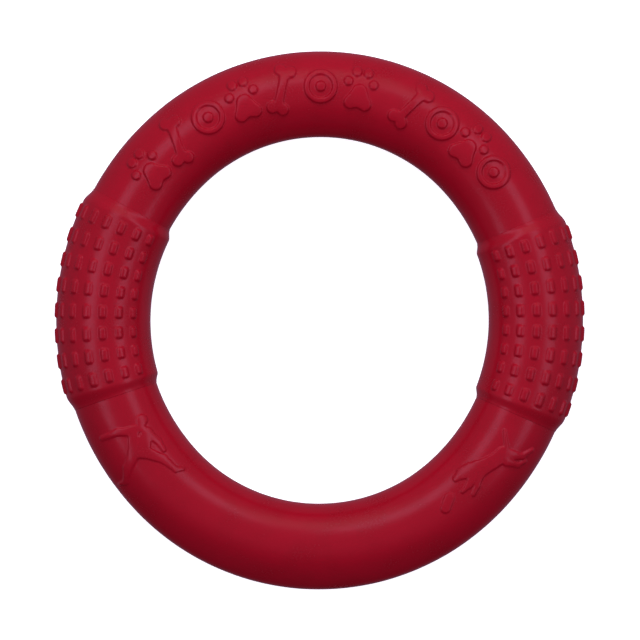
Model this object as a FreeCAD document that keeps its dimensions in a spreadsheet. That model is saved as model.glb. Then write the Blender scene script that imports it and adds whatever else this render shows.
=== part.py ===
import FreeCAD, Part
import math
import os

import Sketcher
from FreeCAD import Placement, Rotation, Vector

# Flying ring: a foam throwing and tug ring with two textured grips.
# Frame: origin at the centre of the hole on the parting plane, +Z along the ring's axis on the side
# of the raised marks, +Y to the middle of the row of marks, +X to the right grip.
# Lengths in millimetres, angles in degrees.
#
# The tube follows an oval of four tangent arcs that meet on the diagonals. The centres of the side
# arcs lie beyond the origin and those of the end arcs before it, by one shift, so that equal length
# and width give a round ring.

# Driving dimensions: name, value, meaning.
SIZES = [
    ("ring_length", 280.0, "outside length of the smooth ring, along Y"),
    ("ring_width", 269.6, "outside width of the smooth ring, along X"),
    ("tube_diameter", 44.8, "thickness of the smooth tube"),
    ("skin_wall", 3.0, "thickness of each skin half"),
    ("grip_wall", 2.2, "thickness of a grip sleeve over the skin"),
    ("grip_angle", 47.4, "angle that a grip spans about its own arc's centre"),
    ("grip_lift", 2.3, "angle by which the grips sit above the ring's width line"),
    ("grip_taper", 6.5, "length over which a grip's end slopes down"),
    ("grip_lip", 0.2, "height of the step that is left at a grip's end"),
    ("pad_rows", 8, "rows of pads along a grip"),
    ("pad_end_gap", 2.6, "angle from a grip's end to its first row's share of the grip"),
    ("pad_share", 0.66, "share of a row's angle that a pad fills"),
    ("pad_columns", 18, "pad places round the whole tube"),
    ("pad_width", 4.7, "width of a pad round the tube"),
    ("pad_rise", 1.1, "height of a pad above its grip"),
    ("pad_bare_angle", 40.0, "half of the tube's arc beside the hole that has no pads"),
    ("disc_stroke", 2.6, "width of the raised rim of a disc mark"),
    ("bone_lean", 22.0, "angle by which the bone marks lean over"),
    ("mark_rise", 1.2, "height of a mark above the skin"),
    ("mark_offset", 3.6, "distance of the marks' middle outside the tube's centre line"),
    ("mark_middle", 92.1, "direction of the middle of the row of marks from the top arc's centre"),
    ("mark_pitch", 20.39, "distance from one mark of the long group to the next"),
    ("mark_break", 27.84, "distance between the two groups of marks"),
    ("mark_close_pitch", 18.43, "distance from one mark of the short group to the next"),
    ("thrower_gap", 29.74, "distance of the thrower figure from the left grip's lower end"),
    ("dog_gap", 29.35, "distance of the leaping dog figure from the right grip's lower end"),
    ("disc_gap", 57.6, "distance of the thrown disc from the right grip's lower end"),
    ("figure_rise", 0.9, "height of a figure above the skin"),
    ("relief_root", 1.0, "depth to which marks and figures are rooted in the skin"),
]

# Each arc of the oval: name, plane of its section, side of the origin, side of its own centre.
ARCS = [
    ("right", "XZ_Plane", 1, -1),
    ("top", "YZ_Plane", 1, 1),
    ("left", "XZ_Plane", -1, 1),
    ("bottom", "YZ_Plane", -1, -1),
]
ARC_SPAN = 90.0

# The raised marks, in order: seven, a break, then four.
LONG_GROUP = ["paw", "bone", "disc", "paw", "bone", "disc", "paw"]
SHORT_GROUP = ["bone", "disc", "paw", "disc"]

# A silhouette is a set of round points (x, y, radius) and the limbs that join pairs of them.
BONE = {
    "points": {
        "upper_left": (-2.7, 9.8, 3.0),
        "upper_right": (2.7, 9.8, 3.0),
        "upper_end": (0.0, 8.2, 2.4),
        "middle": (0.0, 0.0, 1.9),
        "lower_end": (0.0, -8.2, 2.4),
        "lower_left": (-2.7, -9.8, 3.0),
        "lower_right": (2.7, -9.8, 3.0),
    },
    "limbs": [
        ("upper_left", "upper_end"),
        ("upper_right", "upper_end"),
        ("upper_end", "middle"),
        ("middle", "lower_end"),
        ("lower_left", "lower_end"),
        ("lower_right", "lower_end"),
    ],
}

PAW = {
    "points": {
        "peak": (0.0, -1.2, 3.7),
        "heel": (0.0, -5.4, 3.4),
        "left": (-3.8, -7.0, 3.1),
        "right": (3.8, -7.0, 3.1),
    },
    "limbs": [("peak", "left"), ("peak", "right"), ("heel", "left"), ("heel", "right")],
}
TOES = {
    "outer_left": (-6.6, 3.4, 2.3),
    "inner_left": (-3.0, 9.0, 2.5),
    "inner_right": (3.0, 9.0, 2.5),
    "outer_right": (6.6, 3.4, 2.3),
}
DISC_RIM = (0.0, 0.0, 8.6)
DISC_HUB = (0.0, 0.0, 2.6)

THROWER = {
    "points": {
        "head": (0.5, 15.2, 2.9),
        "neck": (0.0, 11.4, 1.7),
        "rear_shoulder": (-3.8, 9.2, 2.5),
        "front_shoulder": (3.6, 8.6, 2.5),
        "rear_elbow": (-11.6, 8.4, 1.7),
        "rear_hand": (-19.6, 4.8, 1.2),
        "front_elbow": (9.4, 4.8, 1.6),
        "front_hand": (12.6, 0.2, 1.1),
        "rear_hip": (-2.4, -1.8, 3.0),
        "front_hip": (2.4, -1.2, 3.0),
        "front_knee": (12.4, -4.4, 2.1),
        "front_ankle": (19.2, -9.6, 1.3),
        "front_toe": (23.0, -9.2, 0.9),
        "rear_knee": (-5.6, -9.8, 2.2),
        "rear_ankle": (-6.4, -17.2, 1.3),
        "rear_toe": (-9.4, -18.4, 0.9),
    },
    "limbs": [
        ("head", "neck"),
        ("neck", "rear_shoulder"),
        ("neck", "front_shoulder"),
        ("rear_shoulder", "rear_elbow"),
        ("rear_elbow", "rear_hand"),
        ("front_shoulder", "front_elbow"),
        ("front_elbow", "front_hand"),
        ("rear_shoulder", "rear_hip"),
        ("front_shoulder", "rear_hip"),
        ("front_shoulder", "front_hip"),
        ("rear_hip", "front_hip"),
        ("front_hip", "front_knee"),
        ("front_knee", "front_ankle"),
        ("front_ankle", "front_toe"),
        ("rear_hip", "rear_knee"),
        ("rear_knee", "rear_ankle"),
        ("rear_ankle", "rear_toe"),
    ],
}

DOG = {
    "points": {
        "muzzle": (-16.2, -8.2, 1.5),
        "head": (-12.6, -4.8, 3.0),
        "ear": (-9.8, -0.6, 1.1),
        "chest": (-5.4, -3.2, 4.5),
        "loin": (2.2, 1.4, 3.5),
        "rump": (7.8, 5.4, 3.9),
        "tail_root": (9.2, 9.6, 1.1),
        "tail_tip": (7.8, 18.0, 0.7),
        "near_thigh": (11.6, 5.4, 2.7),
        "near_hock": (17.6, 5.0, 1.3),
        "near_foot": (22.6, 8.6, 0.9),
        "far_thigh": (10.0, 2.2, 2.3),
        "far_hock": (15.4, 0.4, 1.2),
        "far_foot": (19.4, 2.6, 0.8),
        "near_elbow": (-9.2, -11.0, 1.5),
        "near_paw": (-12.4, -14.6, 0.9),
        "far_elbow": (-5.0, -11.0, 1.4),
        "far_paw": (-6.8, -15.8, 0.9),
    },
    "limbs": [
        ("muzzle", "head"),
        ("head", "ear"),
        ("head", "chest"),
        ("chest", "loin"),
        ("loin", "rump"),
        ("rump", "tail_root"),
        ("tail_root", "tail_tip"),
        ("rump", "near_thigh"),
        ("near_thigh", "near_hock"),
        ("near_hock", "near_foot"),
        ("rump", "far_thigh"),
        ("far_thigh", "far_hock"),
        ("far_hock", "far_foot"),
        ("chest", "near_elbow"),
        ("near_elbow", "near_paw"),
        ("chest", "far_elbow"),
        ("far_elbow", "far_paw"),
    ],
}

DISC = {"points": {"upper": (0.9, 2.7, 2.6), "lower": (-0.9, -2.7, 2.6)}, "limbs": [("upper", "lower")]}

TUBE = "sizes.tube_diameter / 2"
CORE = f"({TUBE} - sizes.skin_wall)"
GRIP = f"({TUBE} + sizes.grip_wall)"
HALF_AXIS = {
    "XZ_Plane": f"(sizes.ring_width / 2 - {TUBE})",
    "YZ_Plane": f"(sizes.ring_length / 2 - {TUBE})",
}
SHIFT = "(sizes.ring_length - sizes.ring_width) / (4 - 2 * sqrt(2))"
ROW_PITCH = "(sizes.grip_angle - 2 * sizes.pad_end_gap) / sizes.pad_rows"
MARK_REACH = f"({HALF_AXIS['YZ_Plane']} - {SHIFT} + sizes.mark_offset)"
SIDE_RADIUS = f"({HALF_AXIS['XZ_Plane']} + {SHIFT})"
GRIP_FOOT = "(sizes.grip_angle / 2 - sizes.grip_lift)"
# The direction of a grip's lower end, down from the ring's width line.
GRIP_END = f"{SIDE_RADIUS} * sin({GRIP_FOOT}) / ({SIDE_RADIUS} * cos({GRIP_FOOT}) - {SHIFT})"
GRIP_END = f"(atan({GRIP_END}) / 1 deg)"

document = FreeCAD.newDocument("flying_ring")
sheet = document.addObject("Spreadsheet::Sheet", "sizes")
for number, (alias, value, meaning) in enumerate(SIZES, start=1):
    sheet.set(f"A{number}", meaning)
    sheet.set(f"B{number}", str(value))
    sheet.setAlias(f"B{number}", alias)
document.recompute()


def size(alias):
    """A driving dimension's value."""
    return float(sheet.get(alias))


# ---------------------------------------------------------------- sections of the tube


def section_sketch(body, name, arc, turn=None):
    """A sketch across the tube. Its first line is the arc's axis and its point the tube's centre.

    turn is an expression in degrees that carries the sketch round the arc's axis, towards +Y from +X.
    """
    plane, side, centre_side = ARCS[arc][1:]
    sketch = body.newObject("Sketcher::SketchObject", name)
    sketch.AttachmentSupport = [(next(f for f in body.Origin.OriginFeatures if f.Role == plane), "")]
    sketch.MapMode = "FlatFace"
    axis = sketch.addGeometry(Part.LineSegment(Vector(0, -1, 0), Vector(0, 1, 0)), True)
    centre = sketch.addGeometry(Part.Point(Vector(side * 100, 0, 0)), True)
    for kind, *parts in (
        ("Vertical", axis),
        ("DistanceY", axis, 1, axis, 2, 2),
        ("DistanceY", axis, 1, -1, 1, 1),
        ("PointOnObject", centre, 1, -1),
    ):
        sketch.addConstraint(Sketcher.Constraint(kind, *parts))
    at_axis = sketch.addConstraint(Sketcher.Constraint("DistanceX", -1, 1, axis, 1, 0))
    at_centre = sketch.addConstraint(Sketcher.Constraint("DistanceX", -1, 1, centre, 1, side * 100))
    sketch.setExpression(f"Constraints[{at_axis}]", f"{centre_side} * {SHIFT}")
    sketch.setExpression(f"Constraints[{at_centre}]", f"{side} * {HALF_AXIS[plane]}")
    if turn:
        sketch.AttachmentOffset = Placement(Vector(), Rotation(Vector(0, 1, 0), 1))
        sketch.setExpression("AttachmentOffset.Rotation.Angle", turn)
        sketch.setExpression("AttachmentOffset.Base.x", f"{centre_side} * {SHIFT} * (1 - cos({turn}))")
        sketch.setExpression("AttachmentOffset.Base.z", f"{centre_side} * {SHIFT} * sin({turn})")
    return sketch


def add_circle(sketch, radius):
    """A circle of the tube's section, whose radius is an expression."""
    circle = sketch.addGeometry(Part.Circle(sketch.getPoint(1, 1), Vector(0, 0, 1), 20))
    sketch.addConstraint(Sketcher.Constraint("Coincident", circle, 3, 1, 1))
    bound = sketch.addConstraint(Sketcher.Constraint("Radius", circle, 20))
    sketch.setExpression(f"Constraints[{bound}]", radius)


def add_sector(sketch, inner, outer, start, end):
    """A sector of the tube's wall between two radii and two directions, all expressions."""
    middle = sketch.getPoint(1, 1)
    directions = [float(sketch.evalExpression(text)) for text in (start, end)]
    begin, finish = (math.radians(direction) for direction in directions)
    arcs = []
    for radius, text in ((20, inner), (24, outer)):
        circle = Part.Circle(middle, Vector(0, 0, 1), radius)
        arc = sketch.addGeometry(Part.ArcOfCircle(circle, begin, finish))
        sketch.addConstraint(Sketcher.Constraint("Coincident", arc, 3, 1, 1))
        bound = sketch.addConstraint(Sketcher.Constraint("Radius", arc, radius))
        sketch.setExpression(f"Constraints[{bound}]", text)
        arcs.append(arc)
    for end_point, angle, text in ((1, begin, start), (2, finish, end)):
        ray = Vector(math.cos(angle), math.sin(angle), 0)
        line = sketch.addGeometry(Part.LineSegment(middle + ray * 20, middle + ray * 24))
        sketch.addConstraint(Sketcher.Constraint("Coincident", line, 1, arcs[0], end_point))
        sketch.addConstraint(Sketcher.Constraint("Coincident", line, 2, arcs[1], end_point))
        sketch.addConstraint(Sketcher.Constraint("PointOnObject", 1, 1, line))
        bound = sketch.addConstraint(Sketcher.Constraint("Angle", line, angle))
        sketch.setExpression(f"Constraints[{bound}]", text)


def revolve(body, name, sketch, angle):
    """Turns a section about its arc's axis, half of the angle to each side."""
    turned = body.newObject("PartDesign::Revolution", name)
    turned.Profile = sketch
    turned.ReferenceAxis = (sketch, ["Axis0"])
    turned.Midplane = True
    turned.setExpression("Angle", angle)
    document.recompute()
    return turned


def new_body(label):
    body = document.addObject("PartDesign::Body", label)
    body.Label = label
    return body


def oval_tube(label, draw):
    """A body whose section, as draw(sketch) makes it, follows all four arcs."""
    body = new_body(label)
    for arc, (name, *_) in enumerate(ARCS):
        sketch = section_sketch(body, f"{label}_{name}_section", arc)
        draw(sketch)
        revolve(body, f"{label}_{name}", sketch, str(ARC_SPAN))
    return body


def upper_shell(label, inner, outer):
    return oval_tube(label, lambda sketch: add_sector(sketch, inner, outer, "0", "180"))


# ---------------------------------------------------------------- grips


def grip(label):
    """The sleeve on the right of the tube, with sloping ends and rows of pads."""
    body = new_body(label)
    sleeve_section = section_sketch(body, f"{label}_sleeve_section", 0, "sizes.grip_lift")
    add_circle(sleeve_section, TUBE)
    add_circle(sleeve_section, GRIP)
    sleeve = revolve(body, f"{label}_sleeve", sleeve_section, "sizes.grip_angle")

    slope = body.newObject("PartDesign::Chamfer", f"{label}_slope")
    rims = []
    for number, edge in enumerate(sleeve.Shape.Edges, start=1):
        round_edge = isinstance(edge.Curve, Part.Circle) and edge.isClosed()
        if round_edge and abs(edge.Curve.Radius - size("tube_diameter") / 2 - size("grip_wall")) < 1e-3:
            rims.append(f"Edge{number}")
    slope.Base = (sleeve, rims)
    slope.ChamferType = "Two distances"
    slope.setExpression("Size", "sizes.grip_taper")
    slope.setExpression("Size2", "sizes.grip_wall - sizes.grip_lip")
    document.recompute()

    first_row = f"sizes.grip_lift - (sizes.pad_rows - 1) / 2 * {ROW_PITCH}"
    pad_section = section_sketch(body, f"{label}_pad_section", 0, first_row)
    columns = int(size("pad_columns"))
    half_width = f"sizes.pad_width / {GRIP} * 90 / pi"
    for column in range(columns):
        from_hole = abs((column + 0.5) * 360 / columns - 180)
        if from_hole < size("pad_bare_angle"):
            continue
        middle = f"{column + 0.5} * 360 / sizes.pad_columns"
        start = f"{middle} - {half_width}"
        end = f"{middle} + {half_width}"
        add_sector(pad_section, f"{GRIP} - sizes.relief_root / 2", f"{GRIP} + sizes.pad_rise", start, end)
    row = revolve(body, f"{label}_pad_row", pad_section, f"sizes.pad_share * {ROW_PITCH}")

    rows = body.newObject("PartDesign::PolarPattern", f"{label}_pads")
    rows.Originals = [row]
    rows.Axis = (pad_section, ["Axis0"])
    body.Tip = rows
    rows.setExpression("Angle", f"(sizes.pad_rows - 1) * {ROW_PITCH}")
    rows.setExpression("Occurrences", "sizes.pad_rows")
    document.recompute()
    return body


# ---------------------------------------------------------------- raised marks and figures


def limb_prism(name, start, end):
    """An upright prism round two round points."""
    ends = [Vector(x, y, 0) for x, y, radius in (start, end)]
    radii = [radius for x, y, radius in (start, end)]
    along = ends[1] - ends[0]
    lean = math.acos((radii[0] - radii[1]) / along.Length)
    heading = math.atan2(along.y, along.x)
    rays = [Vector(math.cos(heading + turn), math.sin(heading + turn), 0) for turn in (lean, -lean)]
    outline = document.addObject("Sketcher::SketchObject", f"{name}_outline")
    sides = []
    for ray in rays:
        line = Part.LineSegment(ends[0] + ray * radii[0], ends[1] + ray * radii[1])
        sides.append(outline.addGeometry(line))
    turns = [(heading + lean, heading + 2 * math.pi - lean), (heading - lean, heading + lean)]
    for centre, radius, (begin, finish), point in zip(ends, radii, turns, (1, 2)):
        circle = Part.Circle(centre, Vector(0, 0, 1), radius)
        arc = outline.addGeometry(Part.ArcOfCircle(circle, begin, finish))
        first, last = (sides[0], sides[1]) if point == 1 else (sides[1], sides[0])
        outline.addConstraint(Sketcher.Constraint("Tangent", arc, 1, first, point))
        outline.addConstraint(Sketcher.Constraint("Tangent", arc, 2, last, point))
        outline.addConstraint(Sketcher.Constraint("Radius", arc, radius))
        outline.addConstraint(Sketcher.Constraint("DistanceX", -1, 1, arc, 3, centre.x))
        outline.addConstraint(Sketcher.Constraint("DistanceY", -1, 1, arc, 3, centre.y))
    prism = document.addObject("Part::Extrusion", name)
    prism.Base = outline
    prism.DirMode = "Custom"
    prism.Dir = Vector(0, 0, 1)
    prism.Solid = True
    prism.setExpression("LengthFwd", "sizes.tube_diameter")
    return prism


def fused(name, prisms):
    if len(prisms) == 1:
        return prisms[0]
    joined = document.addObject("Part::MultiFuse", name)
    joined.Shapes = prisms
    return joined


def silhouette(name, shape):
    """The joined prisms of a silhouette's limbs."""
    points = shape["points"]
    prisms = []
    for start, end in shape["limbs"]:
        prisms.append(limb_prism(f"{name}_{start}_{end}", points[start], points[end]))
    return fused(name, prisms)


def round_prism(name, point, less="0"):
    """An upright cylinder round a point, smaller in radius by the expression less."""
    x, y, radius = point
    prism = document.addObject("Part::Cylinder", name)
    prism.Placement.Base = Vector(x, y, 0)
    prism.setExpression("Radius", f"{radius} - {less}")
    prism.setExpression("Height", "sizes.tube_diameter")
    return prism


def disc_mark(name):
    rim = document.addObject("Part::Cut", f"{name}_rim")
    rim.Base = round_prism(f"{name}_outside", DISC_RIM)
    rim.Tool = round_prism(f"{name}_inside", DISC_RIM, "sizes.disc_stroke")
    return fused(name, [rim, round_prism(f"{name}_hub", DISC_HUB)])


def paw_mark(name):
    toes = [round_prism(f"{name}_{toe}", point) for toe, point in TOES.items()]
    return fused(name, [silhouette(f"{name}_pad", PAW)] + toes)


def bone_mark(name):
    return silhouette(name, BONE)


MARKS = {
    "bone": (bone_mark, "sizes.bone_lean"),
    "paw": (paw_mark, "0"),
    "disc": (disc_mark, "0"),
}


def place_mark(kind, number, angle):
    """Makes a mark and puts it across the tube, in the direction angle from the top arc's centre."""
    make, lean = MARKS[kind]
    prisms = make(f"mark_{number}")
    prisms.setExpression("Placement.Base.x", f"{MARK_REACH} * cos({angle})")
    prisms.setExpression("Placement.Base.y", f"{MARK_REACH} * sin({angle}) + {SHIFT}")
    prisms.Placement.Rotation = Rotation(Vector(0, 0, 1), 1)
    prisms.setExpression("Placement.Rotation.Angle", f"{angle} - 90 - {lean}")
    return prisms


def place_figure(prisms, angle):
    """Puts a figure upright with its middle on the tube's centre line."""
    reach = f"({HALF_AXIS['XZ_Plane']} * abs(cos({angle})) + {HALF_AXIS['YZ_Plane']} * abs(sin({angle})))"
    reach += f" / (abs(cos({angle})) + abs(sin({angle})))"
    prisms.setExpression("Placement.Base.x", f"{reach} * cos({angle})")
    prisms.setExpression("Placement.Base.y", f"{reach} * sin({angle})")


def raised(name, prisms, rise):
    """What the prisms cut out of a shell that stands proud of the skin."""
    shell = upper_shell(f"{name}_shell", f"{TUBE} - sizes.relief_root", f"{TUBE} + {rise}")
    relief = document.addObject("Part::MultiCommon", name)
    everything = document.addObject("Part::Compound", f"{name}_prisms")
    everything.Links = prisms
    relief.Shapes = [shell, everything]
    return relief


# ---------------------------------------------------------------- assembly

core = oval_tube("foam_core", lambda sketch: add_circle(sketch, CORE))
lower_skin = oval_tube("lower_skin", lambda sketch: add_sector(sketch, CORE, TUBE, "180", "360"))
skin_blank = upper_shell("skin_blank", CORE, TUBE)
right_grip = grip("right_grip")
left_grip = document.addObject("Part::Mirroring", "left_grip")
left_grip.Label = "left_grip"
left_grip.Source = right_grip
left_grip.Normal = Vector(1, 0, 0)

long_row = f"{len(LONG_GROUP) - 1} * sizes.mark_pitch"
short_row = f"{len(SHORT_GROUP) - 1} * sizes.mark_close_pitch"
half_row = f"({long_row} + sizes.mark_break + {short_row}) / 2"
marks = []
for group, start, pitch in (
    (LONG_GROUP, half_row, "sizes.mark_pitch"),
    (SHORT_GROUP, f"{short_row} - {half_row}", "sizes.mark_close_pitch"),
):
    for place, kind in enumerate(group):
        turn = f"({start} - {place} * {pitch}) / {MARK_REACH} * 180 / pi"
        marks.append(place_mark(kind, len(marks) + 1, f"(sizes.mark_middle + {turn})"))

figures = []
for name, shape, end, side in (
    ("thrower", THROWER, f"180 + {GRIP_END}", "+"),
    ("dog", DOG, f"360 - {GRIP_END}", "-"),
    ("disc", DISC, f"360 - {GRIP_END}", "-"),
):
    prisms = silhouette(name, shape)
    place_figure(prisms, f"({end} {side} sizes.{name}_gap / {HALF_AXIS['XZ_Plane']} * 180 / pi)")
    figures.append(prisms)

upper_skin = document.addObject("Part::MultiFuse", "upper_skin")
upper_skin.Label = "upper_skin"
upper_skin.Shapes = [
    skin_blank,
    raised("raised_marks", marks, "sizes.mark_rise"),
    raised("raised_figures", figures, "sizes.figure_rise"),
]
document.recompute()

broken = [item.Name for item in document.Objects if {"Invalid", "Error"} & set(item.State)]
if broken:
    raise RuntimeError(f"These did not recompute: {broken}")

os.makedirs("parts", exist_ok=True)
for part in (core, upper_skin, lower_skin, left_grip, right_grip):
    shape = part.Shape
    if shape.isNull() or not shape.isValid() or len(shape.Solids) != 1:
        raise RuntimeError(f"{part.Label} is not one valid solid")
    shape.exportStep(f"parts/{part.Label}.step")
    print(part.Label, round(shape.Volume), "mm3", len(shape.Faces), "faces")
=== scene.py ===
import math

import bmesh
import bpy
import numpy as np
from bpy.props import FloatProperty, FloatVectorProperty, IntProperty, PointerProperty
from bpy.types import Operator, Panel, PropertyGroup
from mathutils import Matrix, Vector


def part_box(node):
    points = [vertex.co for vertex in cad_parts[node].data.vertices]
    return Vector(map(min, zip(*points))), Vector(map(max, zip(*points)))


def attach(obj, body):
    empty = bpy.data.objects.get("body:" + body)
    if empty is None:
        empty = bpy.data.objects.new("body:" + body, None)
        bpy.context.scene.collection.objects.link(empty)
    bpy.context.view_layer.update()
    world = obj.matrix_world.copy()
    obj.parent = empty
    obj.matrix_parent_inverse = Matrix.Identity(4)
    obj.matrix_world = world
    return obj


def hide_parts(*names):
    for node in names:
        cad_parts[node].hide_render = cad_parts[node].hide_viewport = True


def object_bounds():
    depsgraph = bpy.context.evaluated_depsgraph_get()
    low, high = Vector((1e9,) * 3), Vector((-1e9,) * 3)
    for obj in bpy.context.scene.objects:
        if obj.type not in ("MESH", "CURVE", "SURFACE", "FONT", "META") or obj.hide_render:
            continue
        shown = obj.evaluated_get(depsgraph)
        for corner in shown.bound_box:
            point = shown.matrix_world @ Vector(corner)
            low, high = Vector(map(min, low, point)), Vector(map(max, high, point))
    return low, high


bl_info = {
    "name": "Flying Ring",
    "version": (1, 0, 0),
    "blender": (4, 5, 0),
    "location": "3D View > Sidebar > Flying Ring",
    "description": "Skins, grips and stage of a moulded foam flying ring",
    "category": "Mesh",
}

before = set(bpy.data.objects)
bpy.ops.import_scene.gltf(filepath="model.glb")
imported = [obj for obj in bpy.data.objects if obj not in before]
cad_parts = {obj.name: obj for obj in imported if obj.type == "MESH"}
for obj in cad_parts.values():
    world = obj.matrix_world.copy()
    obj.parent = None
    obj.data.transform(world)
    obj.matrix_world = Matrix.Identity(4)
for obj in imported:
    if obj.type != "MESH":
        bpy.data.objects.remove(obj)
CAD_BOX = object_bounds()

# The ring's frame: origin at the centre of the hole on the parting plane, +Z out of the face with
# the raised marks, +Y to the middle of the row of marks, +X to the right grip. Metres and radians.

SKIN_LOW, SKIN_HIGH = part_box("lower_skin")
CORE_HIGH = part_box("foam_core")[1]
GRIP_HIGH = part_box("right_grip")[1]
TUBE_RADIUS = -SKIN_LOW.z
PAD_RISE = 0.0011
MM = 0.001
TURN = 2 * math.pi
MOST_TRIANGLES = 200_000

# Foam: how many features of each kind fit in a metre, and how the skin shines.
CLOUDS, RIPPLES, FLECKS, CELLS = 55.0, 260.0, 900.0, 2600.0
BUMP_DEPTH = 0.05 * MM
FOAM_IOR, FOAM_SPECULAR = 1.45, 0.24
SKIN_ROUGHNESS, SKIN_GRAIN = 0.25, 0.35
CORE_ROUGHNESS, CORE_GRAIN = 0.85, 0.9

# Stage: the main light, the two long strips beside it, the room's tint and the camera.
MAIN_PLACE, MAIN_SIZE, MAIN_POWER = (0.0, 1.25, 0.85), (1.2, 0.6), 11.2
STRIP_ACROSS = {"left": -0.66, "right": 0.82}
STRIP_FORWARD, STRIP_HEIGHT = 0.3, 1.15
STRIP_SIZE, STRIP_POWER, STRIP_TINT = (2.0, 0.5), 6.8, (0.78, 0.68, 1.0)
ROOM_TINT = (0.88, 0.66, 1.0, 1.0)
FLOOR_GLOW, FLOOR_HALF, FLOOR_DROP = 0.84, 3.0, 0.05 * MM
LENS, SENSOR, VIEW_WIDTH, CAMERA_ROLL = 500.0, 36.0, 0.3328, 2.6
CAMERA_ASIDE = 0.2 * MM


# ---------------------------------------------------------------- sizes and colours


def length(name, description, default):
    return FloatProperty(name=name, description=description, default=default, unit="LENGTH")


def angle(name, description, degrees):
    return FloatProperty(
        name=name, description=description, default=math.radians(degrees), subtype="ANGLE"
    )


def colour(name, description, default):
    return FloatVectorProperty(
        name=name, description=description, default=default, size=3, subtype="COLOR", min=0, max=1
    )


class FlyingRingTube(PropertyGroup):
    ring_length: length("Length", "Outside length of the ring", SKIN_HIGH.y - SKIN_LOW.y)
    ring_width: length("Width", "Outside width of the smooth ring", SKIN_HIGH.x - SKIN_LOW.x)
    radius: length("Tube radius", "Radius of the smooth tube", TUBE_RADIUS)
    core_radius: length("Core radius", "Radius of the foam inside the skins", CORE_HIGH.z)
    parting_depth: length("Parting line depth", "Depth of the line between the halves", 0.14 * MM)
    parting_width: length("Parting line width", "Half width of that line", 0.55 * MM)
    waviness: length("Waviness", "How far the foam's skin strays from a true tube", 0.07 * MM)


class FlyingRingGrip(PropertyGroup):
    span: angle("Span", "Angle that a grip covers about its arc's centre", 47.4)
    lift: angle("Lift", "Angle of the grips above the ring's width line", 2.3)
    wall: length("Wall", "Thickness of the sleeve", GRIP_HIGH.z - TUBE_RADIUS - PAD_RISE)
    taper: length("Taper", "Length over which a grip's end slopes down", 6.5 * MM)
    lip: length("Lip", "Height of the step at a grip's end", 0.2 * MM)
    rows: IntProperty(name="Rows", description="Rows of pads along a grip", default=8, min=1)
    row_pitch: angle("Row pitch", "Angle from one row of pads to the next", 5.275)
    pad_angle: angle("Pad angle", "Angle that a pad covers along the grip", 3.481)
    columns: IntProperty(name="Columns", description="Pad places round the tube", default=18, min=4)
    pad_width: length("Pad width", "Width of a pad round the tube", 4.7 * MM)
    pad_rise: length("Pad rise", "Height of a pad above the sleeve", PAD_RISE)
    pad_corner: length("Pad corner", "Corner radius of a pad", 1.7 * MM)
    pad_edge: length("Pad edge", "Width of the slope round a pad", 1.1 * MM)
    bare_angle: angle("Bare angle", "Half of the arc beside the hole without pads", 40)


class FlyingRingRelief(PropertyGroup):
    mark_rise: length("Mark rise", "Height of a mark above the skin", 1.2 * MM)
    disc_stroke: length("Disc stroke", "Width of the raised rim of a disc mark", 2.6 * MM)
    bone_lean: angle("Bone lean", "Angle by which the bone marks lean over", 22)
    mark_offset: length("Mark offset", "Distance of the marks outside the centre line", 3.6 * MM)
    mark_start: angle("First mark", "Direction of the first mark from the top arc's centre", 144.5)
    mark_pitch: angle("Long group's pitch", "Angle from mark to mark in the long group", 10.4)
    mark_break: angle("Break", "Angle between the two groups of marks", 14.2)
    mark_close_pitch: angle("Short group's pitch", "Angle from mark to mark in that group", 9.4)
    figure_rise: length("Figure rise", "Height of a figure above the skin", 0.9 * MM)
    thrower: angle("Thrower", "Direction of the thrower figure", 218.2)
    dog: angle("Dog", "Direction of the leaping dog", 322.0)
    disc: angle("Disc", "Direction of the thrown disc", 307.6)
    edge: length("Edge", "Half width of the slope round the relief", 0.42 * MM)
    blend: length("Blend", "Rounding where limbs meet", 0.9 * MM)


class FlyingRingColours(PropertyGroup):
    skin: colour("Skin", "Moulded skin", (0.316, 0.0021, 0.0112))
    skin_deep: colour("Deep skin", "Darker mottling of the skin", (0.270, 0.0016, 0.0084))
    core: colour("Core", "Foam inside the skin", (0.40, 0.02, 0.05))
    floor: colour("Floor", "Floor under the ring", (0.86, 0.86, 0.86))


# ---------------------------------------------------------------- node graphs as expressions


class Value:
    """A number's socket in a node tree. Python arithmetic on it adds Math nodes."""

    def __init__(self, graph, socket):
        self.graph = graph
        self.socket = socket

    def math(self, operation, *others):
        made = self.graph.node(
            "ShaderNodeMath", {"operation": operation}, dict(enumerate((self, *others)))
        )
        return Value(self.graph, made.outputs[0])

    def __add__(self, other):
        return self.math("ADD", other)

    def __mul__(self, other):
        return self.math("MULTIPLY", other)

    def __sub__(self, other):
        return self.math("SUBTRACT", other)

    def __truediv__(self, other):
        return self.math("DIVIDE", other)

    def __rsub__(self, other):
        return (self * -1) + other

    def __neg__(self):
        return self * -1

    def absolute(self):
        return self.math("ABSOLUTE")

    def sign(self):
        return self.math("SIGN")

    def cosine(self):
        return self.math("COSINE")

    def sine(self):
        return self.math("SINE")

    def root(self):
        return self.math("SQRT")

    def fraction(self):
        return self.math("FRACT")

    def least(self, other):
        return self.math("MINIMUM", other)

    def most(self, other):
        return self.math("MAXIMUM", other)

    def above(self, other):
        return self.math("GREATER_THAN", other)

    def smooth(self, low, high, start=0.0, end=1.0):
        """start below low, end above high, and an S-shaped way between."""
        made = self.graph.node(
            "ShaderNodeMapRange",
            {"interpolation_type": "SMOOTHSTEP"},
            {"Value": self, "From Min": low, "From Max": high, "To Min": start, "To Max": end},
        )
        return Value(self.graph, made.outputs[0])


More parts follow.
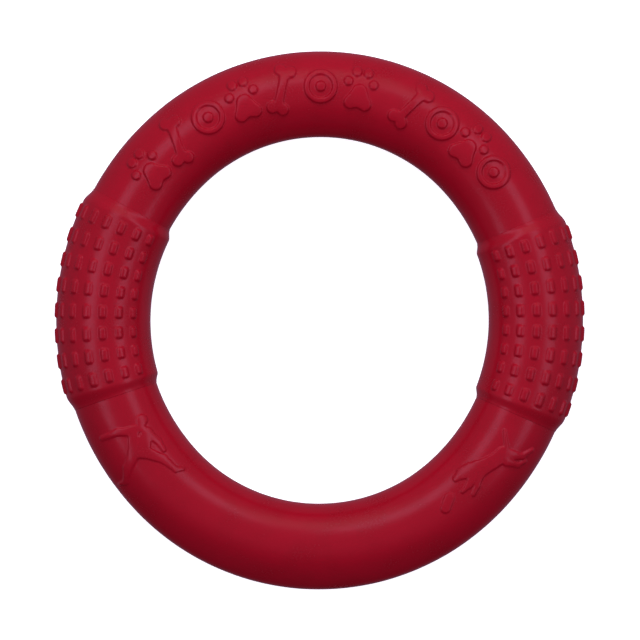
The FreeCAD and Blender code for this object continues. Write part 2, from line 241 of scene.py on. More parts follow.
class Graph:
    """Adds nodes to a tree."""

    def __init__(self, tree):
        self.tree = tree

    def node(self, kind, settings=None, inputs=None):
        """A node of a kind, with its settings made first and then its sockets' values or links."""
        made = self.tree.nodes.new(kind)
        for name, setting in (settings or {}).items():
            setattr(made, name, setting)
        for name, value in (inputs or {}).items():
            socket = made.inputs[name]
            if isinstance(value, Value):
                value = value.socket
            if isinstance(value, bpy.types.NodeSocket):
                self.tree.links.new(value, socket)
            else:
                socket.default_value = value
        return made

    def value(self, node, output=0):
        return Value(self, node.outputs[output])


class ShapeTree(Graph):
    """A Geometry Nodes tree with named inputs, from a sheet of vertices to a finished surface."""

    def __init__(self, name):
        super().__init__(bpy.data.node_groups.new(name, "GeometryNodeTree"))
        self.tree.is_modifier = True
        self.tree.interface.new_socket("Geometry", in_out="OUTPUT", socket_type="NodeSocketGeometry")
        self.tree.interface.new_socket("Geometry", in_out="INPUT", socket_type="NodeSocketGeometry")
        self.start = self.node("NodeGroupInput")
        self.sizes = {}

    def input(self, name, value, kind="NodeSocketFloat"):
        """A named input. value is what this use of the tree gives it."""
        socket = self.tree.interface.new_socket(name, in_out="INPUT", socket_type=kind)
        self.sizes[socket.identifier] = value
        found = self.start.outputs[name]
        return Value(self, found) if kind == "NodeSocketFloat" else found

    def position(self):
        place = self.node("GeometryNodeInputPosition")
        apart = self.node("ShaderNodeSeparateXYZ", inputs={"Vector": place.outputs[0]})
        return [self.value(apart, axis) for axis in range(3)]

    def move(self, geometry, x, y, z):
        together = self.node("ShaderNodeCombineXYZ", inputs={"X": x, "Y": y, "Z": z})
        moved = self.node(
            "GeometryNodeSetPosition", inputs={"Geometry": geometry, "Position": together.outputs[0]}
        )
        return moved.outputs[0]

    def named(self, attribute):
        made = self.node(
            "GeometryNodeInputNamedAttribute", {"data_type": "FLOAT"}, {"Name": attribute}
        )
        return self.value(made)

    def end(self, geometry, material):
        """Closes the tree with real geometry that carries the material."""
        smooth = self.node("GeometryNodeSetShadeSmooth", inputs={"Geometry": geometry})
        real = self.node("GeometryNodeRealizeInstances", inputs={"Geometry": smooth.outputs[0]})
        painted = self.node(
            "GeometryNodeSetMaterial", inputs={"Geometry": real.outputs[0], "Material": material}
        )
        last = self.node("NodeGroupOutput")
        self.tree.links.new(painted.outputs[0], last.inputs[0])

    def make(self, piece):
        """Runs the tree on a piece and leaves the result as the piece's plain mesh."""
        modifier = piece.modifiers.new(self.tree.name, "NODES")
        modifier.node_group = self.tree
        for identifier, value in self.sizes.items():
            modifier[identifier] = value
        graph = bpy.context.evaluated_depsgraph_get()
        plain = bpy.data.meshes.new_from_object(piece.evaluated_get(graph), depsgraph=graph)
        piece.modifiers.remove(modifier)
        old, piece.data = piece.data, plain
        plain.name = piece.name
        bpy.data.meshes.remove(old)
        return piece


# ---------------------------------------------------------------- materials


def foam_material(name, skin, deep, roughness, grain):
    """Moulded foam: faint mottling, a fine closed-cell grain and a satin skin."""
    material = bpy.data.materials.new(name)
    material.use_nodes = True
    graph = Graph(material.node_tree)
    graph.tree.nodes.clear()
    place = graph.node("ShaderNodeTexCoord").outputs["Object"]

    def noise(scale, detail=2.0):
        made = graph.node(
            "ShaderNodeTexNoise", inputs={"Vector": place, "Scale": scale, "Detail": detail}
        )
        return graph.value(made)

    clouds = noise(CLOUDS, 3.0)
    flecks = noise(FLECKS)
    cells = graph.node(
        "ShaderNodeTexVoronoi", {"feature": "SMOOTH_F1"}, {"Vector": place, "Scale": CELLS}
    )
    mottling = (clouds.smooth(0.35, 0.68) * 0.55 + flecks.smooth(0.4, 0.7) * 0.25).least(1.0)
    paint = graph.node(
        "ShaderNodeMix",
        {"data_type": "RGBA"},
        {"Factor": mottling, 6: (*skin, 1.0), 7: (*deep, 1.0)},
    )
    polish = (clouds - 0.5) * 0.12 + (flecks - 0.5) * 0.10 + roughness
    height = graph.value(cells) * 0.5 + flecks * 0.8 + noise(RIPPLES) * 1.2
    bump = graph.node(
        "ShaderNodeBump", inputs={"Height": height, "Strength": grain, "Distance": BUMP_DEPTH}
    )
    foam = graph.node(
        "ShaderNodeBsdfPrincipled",
        inputs={
            "Base Color": paint.outputs[2],
            "Roughness": polish,
            "Normal": bump.outputs[0],
            "IOR": FOAM_IOR,
            "Specular IOR Level": FOAM_SPECULAR,
        },
    )
    end = graph.node("ShaderNodeOutputMaterial", inputs={"Surface": foam.outputs[0]})
    end.is_active_output = True
    return material


def floor_material(tint):
    material = bpy.data.materials.new("pale_floor")
    material.use_nodes = True
    graph = Graph(material.node_tree)
    graph.tree.nodes.clear()
    matt = graph.node(
        "ShaderNodeBsdfPrincipled",
        inputs={
            "Base Color": (*tint, 1.0),
            "Roughness": 0.9,
            "Specular IOR Level": 0.1,
            "Emission Color": (1.0, 1.0, 1.0, 1.0),
            "Emission Strength": FLOOR_GLOW,
        },
    )
    graph.node("ShaderNodeOutputMaterial", inputs={"Surface": matt.outputs[0]})
    return material


# ---------------------------------------------------------------- flat sheets

SKIN_INSIDE, GRIP_INSIDE = 14, 12
LOWER_SKIN_COLUMNS = 540
PLACES_PER_PAD = 20
ROWS_PER_PAD = 24
SEAM_END, SEAM_STEP, COARSE_STEP, LOWER_STEP = (math.radians(n) for n in (2.4, 0.6, 3.4, 2.4))
HALF_TURN = math.pi


def steps(zones):
    """Places along a line, from (start, end, step) zones that follow one another."""
    runs = []
    for begin, end, step in zones:
        count = max(1, round(abs(end - begin) / step))
        runs.append(np.linspace(begin, end, count, endpoint=False))
    return np.append(np.concatenate(runs), zones[-1][1])


def flat_sheet(name, along, around, height, outer, ring_closed=False):
    """A sheet whose vertices hold (angle along the ring, angle round the tube, height).

    around, height and outer are one closed loop of the section, and along is the run of sections.
    Faces close the loop, and close the run too where ring_closed is set; other ends are capped.
    """
    rows, columns = len(around), len(along)
    points = np.empty((columns, rows, 3), np.float32)
    points[:, :, 0] = along[:, None]
    points[:, :, 1] = around[None, :]
    points[:, :, 2] = height
    index = np.arange(columns * rows).reshape(columns, rows)
    following = np.roll(index, -1, axis=0)
    if not ring_closed:
        index, following = index[:-1], following[:-1]
    quads = np.stack(
        [index, following, np.roll(following, -1, axis=1), np.roll(index, -1, axis=1)], axis=-1
    ).reshape(-1, 4)
    mesh = bpy.data.meshes.new(name)
    loops = quads.reshape(-1)
    starts = np.arange(len(quads)) * 4
    if not ring_closed:
        first = np.arange(rows)
        last = np.arange(rows)[::-1] + (columns - 1) * rows
        loops = np.concatenate([loops, first, last])
        starts = np.concatenate([starts, [len(quads) * 4, len(quads) * 4 + rows]])
    mesh.vertices.add(columns * rows)
    mesh.vertices.foreach_set("co", points.reshape(-1))
    mesh.loops.add(len(loops))
    mesh.loops.foreach_set("vertex_index", loops.astype(np.int32))
    mesh.polygons.add(len(starts))
    mesh.polygons.foreach_set("loop_start", starts.astype(np.int32))
    mesh.update(calc_edges=True)
    share = mesh.attributes.new("outer", "FLOAT", "POINT")
    values = np.broadcast_to(outer, (columns, rows)).astype(np.float32)
    share.data.foreach_set("value", values.reshape(-1))
    piece = bpy.data.objects.new(name, mesh)
    bpy.context.scene.collection.objects.link(piece)
    return piece


def parting_dip(tube, around):
    """Depth of the line between the two halves, at places round the tube."""
    to_parting = np.abs(np.sin(around)) * tube.radius / tube.parting_width
    return np.clip(1.0 - to_parting, 0.0, 1.0) ** 2 * tube.parting_depth


def half_section(tube, around):
    """The closed section of a skin: out over the tube through around, and back inside it."""
    inside = np.linspace(around[-1], around[0], SKIN_INSIDE)
    section = np.concatenate([around, inside])
    thickness = np.full(len(inside), tube.core_radius - tube.radius)
    height = np.concatenate([-parting_dip(tube, around), thickness])
    outer = np.concatenate([np.ones(len(around)), np.zeros(len(inside))])
    return section, height, outer


# ---------------------------------------------------------------- shapes that follow a rule

WAVES = 38.0
LIP_ROUNDING = 0.45 * MM
PAD_CROWN = (-2.1 * MM, -0.4 * MM, 1.0, 0.8)


def wrap_round_oval(tree, geometry, tube):
    """Wraps a flat sheet round the oval tube of four tangent arcs."""
    half_width = tree.input("Half Width", tube.ring_width / 2 - tube.radius)
    half_length = tree.input("Half Length", tube.ring_length / 2 - tube.radius)
    radius = tree.input("Tube Radius", tube.radius)
    waviness = tree.input("Waviness", tube.waviness)
    along, around, height = tree.position()
    cosine, sine = along.cosine(), along.sine()
    shift = (half_length - half_width) / (2 - math.sqrt(2))
    beside = cosine.absolute().above(sine.absolute())
    endwise = 1 - beside
    reach = beside * (half_width + shift) + endwise * (half_length - shift)
    centre_x = -(shift * cosine.sign() * beside)
    centre_y = shift * sine.sign() * endwise

    def place(extra):
        out = (radius + extra) * around.cosine() + reach
        return out * cosine + centre_x, out * sine + centre_y, (radius + extra) * around.sine()

    true_place = tree.node("ShaderNodeCombineXYZ", inputs=dict(enumerate(place(height))))
    wander = tree.node(
        "ShaderNodeTexNoise",
        inputs={"Vector": true_place.outputs[0], "Scale": WAVES, "Detail": 1.0},
    )
    stray = (tree.value(wander) - 0.5) * 2 * waviness * tree.named("outer")
    return tree.move(geometry, *place(height + stray))


def raise_grip(tree, geometry, tube, grip, middle):
    """Gives a flat sheet the heights of a grip: its sloping ends and its pads."""
    arc_radius = tree.input("Arc Radius", arc_of_side(tube))
    radius = tree.input("Sleeve Radius", tube.radius + grip.wall)
    centre = tree.input("Middle", middle)
    span = tree.input("Span", grip.span)
    wall = tree.input("Wall", grip.wall)
    taper = tree.input("Taper", grip.taper)
    lip = tree.input("Lip", grip.lip)
    rows = tree.input("Rows", float(grip.rows))
    row_pitch = tree.input("Row Pitch", grip.row_pitch)
    pad_angle = tree.input("Pad Angle", grip.pad_angle)
    columns = tree.input("Columns", float(grip.columns))
    pad_width = tree.input("Pad Width", grip.pad_width)
    pad_rise = tree.input("Pad Rise", grip.pad_rise)
    corner = tree.input("Pad Corner", grip.pad_corner)
    edge = tree.input("Pad Edge", grip.pad_edge)
    bare = tree.input("Bare Angle", grip.bare_angle)
    along, around, height = tree.position()
    from_middle = along - centre
    from_end = (span / 2 - from_middle.absolute()) * arc_radius

    step = 1 - (from_end / LIP_ROUNDING).least(1.0)
    lip_height = (1 - step * step).most(0.0).root() * lip
    slope = from_end.smooth(0.0, taper) * (wall - lip)
    sleeve = lip_height + slope

    out = radius * around.cosine() + arc_radius
    beside = ((from_middle / row_pitch + rows / 2).fraction() - 0.5).absolute() * row_pitch * out
    across = ((around * columns / TURN).fraction() - 0.5).absolute() * TURN / columns * radius
    over_length = beside - (pad_angle / 2 * out - corner)
    over_width = across - (pad_width / 2 - corner)
    past_length = over_length.most(0.0).math("POWER", 2.0)
    past_width = over_width.most(0.0).math("POWER", 2.0)
    beyond = (past_length + past_width).root()
    to_rim = beyond + over_length.most(over_width).least(0.0) - corner
    pad = to_rim.smooth(-edge, 0.0, 1.0, 0.0)
    crown = to_rim.smooth(*PAD_CROWN)
    within = (rows * row_pitch / 2).above(from_middle.absolute())
    clear = (around - math.pi).absolute().above(bare)
    raised = (pad * crown * within * clear * pad_rise + sleeve) * tree.named("outer")
    return tree.move(geometry, along, around, height + raised)


def arc_of_side(tube):
    """Radius of the side arcs' centre line."""
    half_width = tube.ring_width / 2 - tube.radius
    half_length = tube.ring_length / 2 - tube.radius
    return half_width + (half_length - half_width) / (2 - math.sqrt(2))


def top_arc(tube):
    """Height of the top arc's centre above the origin, and its centre line's radius."""
    half_length = tube.ring_length / 2 - tube.radius
    shift = arc_of_side(tube) - (tube.ring_width / 2 - tube.radius)
    return shift, half_length - shift


# ---------------------------------------------------------------- raised marks and figures

# A silhouette is a set of round points (x, y, radius) in millimetres and the limbs between them.
BONE = {
    "points": {
        "upper_left": (-2.7, 9.8, 3.0),
        "upper_right": (2.7, 9.8, 3.0),
        "upper_end": (0.0, 8.2, 2.4),
        "middle": (0.0, 0.0, 1.9),
        "lower_end": (0.0, -8.2, 2.4),
        "lower_left": (-2.7, -9.8, 3.0),
        "lower_right": (2.7, -9.8, 3.0),
    },
    "limbs": [
        ("upper_left", "upper_end"),
        ("upper_right", "upper_end"),
        ("upper_end", "middle"),
        ("middle", "lower_end"),
        ("lower_left", "lower_end"),
        ("lower_right", "lower_end"),
    ],
}
PAW = {
    "points": {
        "peak": (0.0, -1.2, 3.7),
        "heel": (0.0, -5.4, 3.4),
        "left": (-3.8, -7.0, 3.1),
        "right": (3.8, -7.0, 3.1),
    },
    "limbs": [("peak", "left"), ("peak", "right"), ("heel", "left"), ("heel", "right")],
}
TOES = [(-6.6, 3.4, 2.3), (-3.0, 9.0, 2.5), (3.0, 9.0, 2.5), (6.6, 3.4, 2.3)]
DISC_RIM, DISC_HUB = 8.6, 2.6
LONG_GROUP = ["paw", "bone", "disc", "paw", "bone", "disc", "paw"]
SHORT_GROUP = ["bone", "disc", "paw", "disc"]

THROWER = {
    "points": {
        "head": (0.5, 15.2, 2.9),
        "neck": (0.0, 11.4, 1.7),
        "rear_shoulder": (-3.8, 9.2, 2.5),
        "front_shoulder": (3.6, 8.6, 2.5),
        "rear_elbow": (-11.6, 8.4, 1.7),
        "rear_hand": (-19.6, 4.8, 1.2),
        "front_elbow": (9.4, 4.8, 1.6),
        "front_hand": (12.6, 0.2, 1.1),
        "rear_hip": (-2.4, -1.8, 3.0),
        "front_hip": (2.4, -1.2, 3.0),
        "front_knee": (12.4, -4.4, 2.1),
        "front_ankle": (19.2, -9.6, 1.3),
        "front_toe": (23.0, -9.2, 0.9),
        "rear_knee": (-5.6, -9.8, 2.2),
        "rear_ankle": (-6.4, -17.2, 1.3),
        "rear_toe": (-9.4, -18.4, 0.9),
    },
    "limbs": [
        ("head", "neck"),
        ("neck", "rear_shoulder"),
        ("neck", "front_shoulder"),
        ("rear_shoulder", "rear_elbow"),
        ("rear_elbow", "rear_hand"),
        ("front_shoulder", "front_elbow"),
        ("front_elbow", "front_hand"),
        ("rear_shoulder", "rear_hip"),
        ("front_shoulder", "rear_hip"),
        ("front_shoulder", "front_hip"),
        ("rear_hip", "front_hip"),
        ("front_hip", "front_knee"),
        ("front_knee", "front_ankle"),
        ("front_ankle", "front_toe"),
        ("rear_hip", "rear_knee"),
        ("rear_knee", "rear_ankle"),
        ("rear_ankle", "rear_toe"),
    ],
}

DOG = {
    "points": {
        "muzzle": (-16.2, -8.2, 1.5),
        "head": (-12.6, -4.8, 3.0),
        "ear": (-9.8, -0.6, 1.1),
        "chest": (-5.4, -3.2, 4.5),
        "loin": (2.2, 1.4, 3.5),
        "rump": (7.8, 5.4, 3.9),
        "tail_root": (9.2, 9.6, 1.1),
        "tail_tip": (7.8, 18.0, 0.7),
        "near_thigh": (11.6, 5.4, 2.7),
        "near_hock": (17.6, 5.0, 1.3),
        "near_foot": (22.6, 8.6, 0.9),
        "far_thigh": (10.0, 2.2, 2.3),
        "far_hock": (15.4, 0.4, 1.2),
        "far_foot": (19.4, 2.6, 0.8),
        "near_elbow": (-9.2, -11.0, 1.5),
        "near_paw": (-12.4, -14.6, 0.9),
        "far_elbow": (-5.0, -11.0, 1.4),
        "far_paw": (-6.8, -15.8, 0.9),
    },
    "limbs": [
        ("muzzle", "head"),
        ("head", "ear"),
        ("head", "chest"),
        ("chest", "loin"),
        ("loin", "rump"),
        ("rump", "tail_root"),
        ("tail_root", "tail_tip"),
        ("rump", "near_thigh"),
        ("near_thigh", "near_hock"),
        ("near_hock", "near_foot"),
        ("rump", "far_thigh"),
        ("far_thigh", "far_hock"),
        ("far_hock", "far_foot"),
        ("chest", "near_elbow"),
        ("near_elbow", "near_paw"),
        ("chest", "far_elbow"),
        ("far_elbow", "far_paw"),
    ],
}
DISC = {
    "points": {"upper": (0.9, 2.7, 2.6), "lower": (-0.9, -2.7, 2.6)},
    "limbs": [("upper", "lower")],
}

# How far a mark and a figure reach from their middles, and their crowns: the height at the rim as a
# share of the whole, and the distance inside it over which the rest is gained. Millimetres.
MARK_REACH, MARK_CROWN = (14, 17), (0.84, 0.9)
FIGURE_REACH, FIGURE_CROWN = (30, 28), (0.72, 1.8)


def limb_distance(x, y, start, end):
    """Signed distance to a tapered limb, negative inside it."""
    (ax, ay, ar), (bx, by, br) = start, end
    run_x, run_y = bx - ax, by - ay
    share = ((x - ax) * run_x + (y - ay) * run_y) / (run_x**2 + run_y**2)
    share = np.clip(share, 0.0, 1.0)
    return np.hypot(x - ax - share * run_x, y - ay - share * run_y) - (ar + share * (br - ar))


def joined(first, second, blend):
    """The union of two signed distances, rounded over blend where they meet."""
    mix = np.clip(0.5 + 0.5 * (second - first) / blend, 0.0, 1.0)
    return second + (first - second) * mix - blend * mix * (1.0 - mix)


def silhouette(x, y, shape, blend):
    distance = None
    for start, end in shape["limbs"]:
        limb = limb_distance(x, y, shape["points"][start], shape["points"][end])
        distance = limb if distance is None else joined(distance, limb, blend)
    return distance


def local(x, y, centre, turn):
    """Places in millimetres, as seen from a centre and turned by an angle."""
    across, up = (x - centre[0]) / MM, (y - centre[1]) / MM
    return (
        across * math.cos(turn) + up * math.sin(turn),
        up * math.cos(turn) - across * math.sin(turn),
    )


def ramp(distance, edge):
    """1 inside a shape, 0 outside it, and an S-shaped slope across its rim."""
    share = np.clip(0.5 - distance / (2 * edge), 0.0, 1.0)
    return share * share * (3.0 - 2.0 * share)


def raised_shape(distance, edge, crown):
    """Heights of a shape, as shares of its rise: a soft rim, and a low crown inside it."""
    rim_share, depth = crown
    inside = 1.0 - np.exp(np.minimum(distance, 0.0) / depth)
    return ramp(distance, edge) * (rim_share + (1.0 - rim_share) * inside)


def mark_distance(kind, x, y, relief):
    """Signed distance to a mark, in millimetres from its middle."""
    blend = relief.blend / MM
    if kind == "bone":
        return silhouette(*local(x * MM, y * MM, (0.0, 0.0), -relief.bone_lean), BONE, blend)
    if kind == "disc":
        stroke = relief.disc_stroke / MM
        from_middle = np.hypot(x, y)
        rim = np.abs(from_middle - DISC_RIM + stroke / 2) - stroke / 2
        return np.minimum(rim, from_middle - DISC_HUB)
    distance = silhouette(x, y, PAW, blend)
    for toe_x, toe_y, radius in TOES:
        distance = np.minimum(distance, np.hypot(x - toe_x, y - toe_y) - radius)
    return distance


def mark_heights(x, y, tube, relief):
    """Heights of the row of raised marks over places on the ring."""
    centre_y, reach = top_arc(tube)
    reach += relief.mark_offset
    directions = [relief.mark_start - n * relief.mark_pitch for n in range(len(LONG_GROUP))]
    second = directions[-1] - relief.mark_break
    directions += [second - n * relief.mark_close_pitch for n in range(len(SHORT_GROUP))]
    heights = np.zeros_like(x)
    for kind, direction in zip(LONG_GROUP + SHORT_GROUP, directions):
        centre = (reach * math.cos(direction), reach * math.sin(direction) + centre_y)
        across, up = local(x, y, centre, direction - math.pi / 2)
        near = (np.abs(across) < MARK_REACH[0]) & (np.abs(up) < MARK_REACH[1])
        distance = mark_distance(kind, across[near], up[near], relief)
        height = raised_shape(distance, relief.edge / MM, MARK_CROWN)
        heights[near] = np.maximum(heights[near], height)
    return heights * relief.mark_rise


def figure_heights(x, y, tube, relief):
    """Heights of the thrower, the dog and the disc over places on the ring."""
    half_width = tube.ring_width / 2 - tube.radius
    half_length = tube.ring_length / 2 - tube.radius
    heights = np.zeros_like(x)
    for shape, direction in ((THROWER, relief.thrower), (DOG, relief.dog), (DISC, relief.disc)):
        over, up = abs(math.cos(direction)), abs(math.sin(direction))
        reach = (half_width * over + half_length * up) / (over + up)
        across, upward = local(x, y, (reach * math.cos(direction), reach * math.sin(direction)), 0.0)
        near = (np.abs(across) < FIGURE_REACH[0]) & (np.abs(upward) < FIGURE_REACH[1])
        distance = silhouette(across[near], upward[near], shape, relief.blend / MM)
        height = raised_shape(distance, relief.edge / MM, FIGURE_CROWN)
        heights[near] = np.maximum(heights[near], height)
    return heights * relief.figure_rise


def emboss(piece, along, around, outer, heights_of):
    """Raises the outside of a piece along the tube's own normal."""
    mesh = piece.data
    points = np.empty(len(mesh.vertices) * 3, np.float32)
    mesh.vertices.foreach_get("co", points)
    points = points.reshape(-1, 3).astype(float)
    along, around = (grid.reshape(-1) for grid in np.meshgrid(along, around, indexing="ij"))
    normals = np.stack(
        [np.cos(around) * np.cos(along), np.cos(around) * np.sin(along), np.sin(around)], axis=1
    )
    rise = heights_of(points[:, 0], points[:, 1])
    rise *= np.tile(outer, len(points) // len(outer))
    points += normals * rise[:, None]
    mesh.vertices.foreach_set("co", points.astype(np.float32).reshape(-1))
    mesh.update()


def finish_piece(piece, node):
    """Turns faces outwards, checks the size and hands the piece to the frame."""
    mesh = piece.data
    work = bmesh.new()
    work.from_mesh(mesh)
    if work.calc_volume(signed=True) < 0:
        bmesh.ops.reverse_faces(work, faces=work.faces)
    work.to_mesh(mesh)
    work.free()
    share = mesh.attributes.get("outer")
    if share:
        mesh.attributes.remove(share)
    triangles = sum(len(face.vertices) - 2 for face in mesh.polygons)
    if triangles >= MOST_TRIANGLES:
        raise RuntimeError(f"{piece.name} has {triangles} triangles")
    print(piece.name, triangles, "triangles")
    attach(piece, "root")
    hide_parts(node)


# ---------------------------------------------------------------- operators


def settings():
    scene = bpy.context.scene
    return scene.flying_ring_tube, scene.flying_ring_grip, scene.flying_ring_relief


def skin_foam():
    found = bpy.data.materials.get("moulded_skin")
    colours = bpy.context.scene.flying_ring_colours
    paints = colours.skin, colours.skin_deep
    return found or foam_material("moulded_skin", *paints, SKIN_ROUGHNESS, SKIN_GRAIN)


def zones(*parts):
    """Places along a line, from (start, end, step) zones in degrees."""
    return steps([tuple(math.radians(value) for value in part) for part in parts])


def upper_half(start, end, step):
    """Places round the upper half of the tube: close beside the seams, and from start to end."""
    begin, stop, fine = (math.radians(value) for value in (start, end, step))
    return steps(
        [
            (0.0, SEAM_END, SEAM_STEP),
            (SEAM_END, begin, COARSE_STEP),
            (begin, stop, fine),
            (stop, HALF_TURN - SEAM_END, COARSE_STEP),
            (HALF_TURN - SEAM_END, HALF_TURN, SEAM_STEP),
        ]
    )


# Steps along the upper skin: fine over the relief, in metres, and coarser elsewhere, in degrees.
RELIEF_STEP = 0.37 * MM
HIDDEN_STEP, PLAIN_STEP = 1.6, 0.7


class FLYINGRING_OT_upper_skin(Operator):
    """Makes the two lengths of the upper skin, with the marks and the figures"""

    bl_idname = "flying_ring.upper_skin"
    bl_label = "Upper Skin"

    def execute(self, context):
        tube = settings()[0]
        fine = math.degrees(RELIEF_STEP / (tube.ring_length / 2 - tube.radius))
        top = zones(
            (1.8, 24, HIDDEN_STEP),
            (24, 33, PLAIN_STEP),
            (33, 153, fine),
            (153, 156, PLAIN_STEP),
            (156, 178.2, HIDDEN_STEP),
        )
        self.length_of_skin("upper_skin_marks", top, upper_half(36, 116, 0.95), mark_heights)
        bottom = zones(
            (178.2, 202, HIDDEN_STEP),
            (202, 203, PLAIN_STEP),
            (203, 233, fine),
            (233, 299, PLAIN_STEP),
            (299, 336, fine),
            (336, 338, PLAIN_STEP),
            (338, 361.8, HIDDEN_STEP),
        )
        self.length_of_skin("upper_skin_figures", bottom, upper_half(34, 126, 0.85), figure_heights)
        return {"FINISHED"}

    def length_of_skin(self, name, along, around, heights):
        tube, _, relief = settings()
        section, height, outer = half_section(tube, around)
        piece = flat_sheet(name, along, section, height, outer)
        tree = ShapeTree(f"{name}_shape")
        paint = tree.input("Material", skin_foam(), "NodeSocketMaterial")
        tree.end(wrap_round_oval(tree, tree.start.outputs["Geometry"], tube), paint)
        tree.make(piece)
        emboss(piece, along, section, outer, lambda x, y: heights(x, y, tube, relief))
        finish_piece(piece, "upper_skin")


class FLYINGRING_OT_lower_skin(Operator):
    """Makes the plain lower skin"""

    bl_idname = "flying_ring.lower_skin"
    bl_label = "Lower Skin"

    def execute(self, context):
        tube = settings()[0]
        around = steps(
            [
                (HALF_TURN, HALF_TURN + SEAM_END, SEAM_STEP),
                (HALF_TURN + SEAM_END, TURN - SEAM_END, LOWER_STEP),
                (TURN - SEAM_END, TURN, SEAM_STEP),
            ]
        )
        section, height, outer = half_section(tube, around)
        along = np.linspace(0, TURN, LOWER_SKIN_COLUMNS, endpoint=False)
        piece = flat_sheet("lower_skin_plain", along, section, height, outer, ring_closed=True)
        tree = ShapeTree("lower_skin_shape")
        paint = tree.input("Material", skin_foam(), "NodeSocketMaterial")
        tree.end(wrap_round_oval(tree, tree.start.outputs["Geometry"], tube), paint)
        tree.make(piece)
        finish_piece(piece, "lower_skin")
        return {"FINISHED"}


# Along a sleeve: the band and step of its lip, and the step of its slope.
LIP_BAND, LIP_STEP, SLOPE_STEP = 0.5 * MM, 0.1 * MM, 0.45 * MM


class FLYINGRING_OT_grips(Operator):
    """Makes the two textured grips"""

    bl_idname = "flying_ring.grips"
    bl_label = "Grips"

    def execute(self, context):
        grip = settings()[1]
        colours = context.scene.flying_ring_colours
        paints = colours.skin, colours.skin_deep
        foam = foam_material("moulded_grip", *paints, SKIN_ROUGHNESS, SKIN_GRAIN)
        for side, middle in (("right", grip.lift), ("left", math.pi - grip.lift)):
            self.sleeve(side, middle, foam)
        return {"FINISHED"}

    def sleeve(self, side, middle, foam):
        tube, grip, _ = settings()
        half_rows = grip.rows * grip.row_pitch / 2
        half = grip.span / 2
        reach = arc_of_side(tube)
        lip_end = half - LIP_BAND / reach
        outside = steps(
            [
                (-half, -lip_end, LIP_STEP / reach),
                (-lip_end, -half_rows, SLOPE_STEP / reach),
                (-half_rows, half_rows, grip.row_pitch / ROWS_PER_PAD),
                (half_rows, lip_end, SLOPE_STEP / reach),
                (lip_end, half, LIP_STEP / reach),
            ]
        )
        inside = np.linspace(half, -half, GRIP_INSIDE)[1:-1]
        run = np.concatenate([outside, inside]) + middle
        outer = np.concatenate([np.ones(len(outside)), np.zeros(len(inside))])
        around = np.linspace(0, TURN, grip.columns * PLACES_PER_PAD, endpoint=False)
        outer = outer[:, None]
        height = -parting_dip(tube, around)[None, :] * outer
        piece = flat_sheet(f"{side}_grip_sleeve", run, around, height, outer, ring_closed=True)
        tree = ShapeTree(f"{side}_grip_shape")
        paint = tree.input("Material", foam, "NodeSocketMaterial")
        raised = raise_grip(tree, tree.start.outputs["Geometry"], tube, grip, middle)
        tree.end(wrap_round_oval(tree, raised, tube), paint)
        tree.make(piece)
        finish_piece(piece, f"{side}_grip")


class FLYINGRING_OT_core(Operator):
    """Gives the hidden core its foam"""

    bl_idname = "flying_ring.core"
    bl_label = "Core"

    def execute(self, context):
        colours = context.scene.flying_ring_colours
        paints = colours.core, colours.skin
        foam = foam_material("closed_cell_core", *paints, CORE_ROUGHNESS, CORE_GRAIN)
        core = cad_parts["foam_core"]
        for slot in core.material_slots:
            slot.material = foam
        return {"FINISHED"}


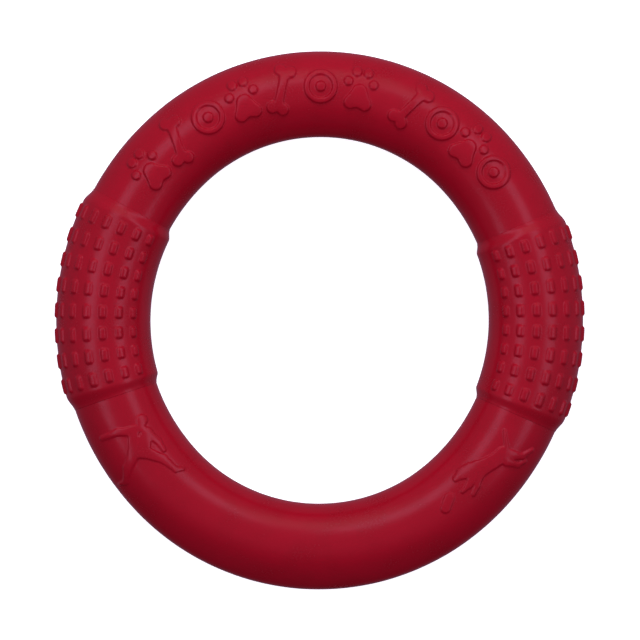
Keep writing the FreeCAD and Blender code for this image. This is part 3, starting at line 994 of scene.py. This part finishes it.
class FLYINGRING_OT_stage(Operator):
    """Makes the floor, the soft lights and the camera"""

    bl_idname = "flying_ring.stage"
    bl_label = "Stage"

    def execute(self, context):
        scene = context.scene
        self.floor(CAD_BOX[0].z - FLOOR_DROP, scene.flying_ring_colours.floor)
        scene.world = self.room()
        main = self.softbox("main_softbox", MAIN_PLACE, MAIN_SIZE, MAIN_POWER)
        main.visible_glossy = False
        for side, across in STRIP_ACROSS.items():
            place = (across, STRIP_FORWARD, STRIP_HEIGHT)
            strip = self.softbox(f"{side}_softbox", place, STRIP_SIZE, STRIP_POWER)
            strip.data.color = STRIP_TINT
        self.camera()
        scene.view_settings.view_transform = "Standard"
        return {"FINISHED"}

    def room(self):
        """A soft tinted room: light from above, and a darker side that only gloss shows."""
        world = bpy.data.worlds.new("soft_room")
        world.use_nodes = True
        graph = Graph(world.node_tree)
        graph.tree.nodes.clear()
        direction = graph.node("ShaderNodeTexCoord").outputs["Generated"]
        apart = graph.node("ShaderNodeSeparateXYZ", inputs={"Vector": direction})
        forward, upward = graph.value(apart, 1), graph.value(apart, 2)
        glow = upward.smooth(-0.5, 0.3, 0.34, 0.48)
        reflected = forward.smooth(-0.75, -0.05, 0.05, 0.52) * upward.smooth(-0.8, 0.3, 0.48, 1.0)
        rays = graph.node("ShaderNodeLightPath")
        in_gloss = graph.value(rays, "Is Glossy Ray")
        strength = glow + (reflected - glow) * in_gloss
        sky = graph.node(
            "ShaderNodeBackground", inputs={"Color": ROOM_TINT, "Strength": strength}
        )
        backdrop = graph.node("ShaderNodeBackground", inputs={"Color": (1.0, 1.0, 1.0, 1.0)})
        in_view = graph.value(rays, "Is Camera Ray")
        seen = graph.node(
            "ShaderNodeMixShader", inputs={0: in_view, 1: sky.outputs[0], 2: backdrop.outputs[0]}
        )
        graph.node("ShaderNodeOutputWorld", inputs={"Surface": seen.outputs[0]})
        return world

    def floor(self, level, tint):
        mesh = bpy.data.meshes.new("floor")
        signs = ((-1, -1), (1, -1), (1, 1), (-1, 1))
        corners = [(x * FLOOR_HALF, y * FLOOR_HALF, level) for x, y in signs]
        mesh.from_pydata(corners, [], [(0, 1, 2, 3)])
        mesh.materials.append(floor_material(tint))
        ground = bpy.data.objects.new("floor", mesh)
        ground.visible_diffuse = False
        ground.visible_glossy = False
        bpy.context.scene.collection.objects.link(ground)

    def softbox(self, name, place, size, power):
        lamp = bpy.data.lights.new(name, "AREA")
        lamp.shape = "RECTANGLE"
        lamp.size, lamp.size_y = size
        lamp.energy = power
        box = bpy.data.objects.new(name, lamp)
        box.location = place
        box.rotation_euler = (-Vector(place)).to_track_quat("-Z", "Y").to_euler()
        bpy.context.scene.collection.objects.link(box)
        return box

    def camera(self):
        data = bpy.data.cameras.new("camera")
        data.lens = LENS
        data.sensor_width = SENSOR
        data.clip_end = 20.0
        camera = bpy.data.objects.new("camera", data)
        camera.location = (CAMERA_ASIDE, CAMERA_ASIDE, VIEW_WIDTH * LENS / SENSOR)
        camera.rotation_euler = (0.0, 0.0, math.radians(CAMERA_ROLL))
        bpy.context.scene.collection.objects.link(camera)
        bpy.context.scene.camera = camera


class FLYINGRING_PT_panel(Panel):
    """Lists the ring's pieces and its stage"""

    bl_idname = "FLYINGRING_PT_panel"
    bl_label = "Flying Ring"
    bl_space_type = "VIEW_3D"
    bl_region_type = "UI"
    bl_category = "Flying Ring"

    def draw(self, context):
        for operator in OPERATORS:
            self.layout.operator(operator.bl_idname)
        for group in GROUPS:
            box = self.layout.box()
            sizes = getattr(context.scene, group)
            for name in sizes.bl_rna.properties.keys():
                if name not in {"rna_type", "name"}:
                    box.prop(sizes, name)


OPERATORS = (
    FLYINGRING_OT_stage,
    FLYINGRING_OT_core,
    FLYINGRING_OT_lower_skin,
    FLYINGRING_OT_upper_skin,
    FLYINGRING_OT_grips,
)
GROUPS = {
    "flying_ring_tube": FlyingRingTube,
    "flying_ring_grip": FlyingRingGrip,
    "flying_ring_relief": FlyingRingRelief,
    "flying_ring_colours": FlyingRingColours,
}


def register():
    for kind in (*GROUPS.values(), *OPERATORS, FLYINGRING_PT_panel):
        bpy.utils.register_class(kind)
    for name, kind in GROUPS.items():
        setattr(bpy.types.Scene, name, PointerProperty(type=kind))


def unregister():
    for name in GROUPS:
        delattr(bpy.types.Scene, name)
    for kind in (FLYINGRING_PT_panel, *reversed(OPERATORS), *reversed(GROUPS.values())):
        bpy.utils.unregister_class(kind)


def main():
    register()
    for operator in OPERATORS:
        group, name = operator.bl_idname.split(".")
        getattr(getattr(bpy.ops, group), name)()
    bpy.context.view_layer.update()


if __name__ == "__main__":
    main()
